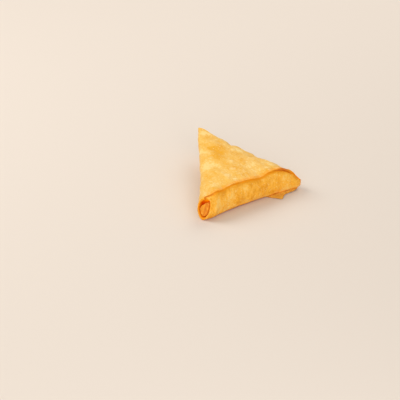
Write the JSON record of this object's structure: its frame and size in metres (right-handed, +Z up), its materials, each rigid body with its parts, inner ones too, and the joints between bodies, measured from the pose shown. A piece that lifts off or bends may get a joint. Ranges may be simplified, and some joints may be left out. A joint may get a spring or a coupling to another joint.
{
  "type": "ham and cheese pastry pocket",
  "caption": "Triangular fried pastry pocket, folded shut round its filling, with a rolled corner that is open at its end and a loose corner of dough below the front.",
  "frame": {"origin": "middle of the box in plan, on the surface that the pocket lies on", "axes": "+X along the folded front from the rolled corner to the blunt corner, +Y from the front to the pointed corner, +Z up"},
  "size_m": [0.1402, 0.1472, 0.0369],
  "materials": {
    "fried_crust": "golden fried dough, slightly oily, darker orange along its folded edges"
  },
  "bodies": {
    "root": {"pastry_pocket": "fried_crust"}
  },
  "joints": []
}
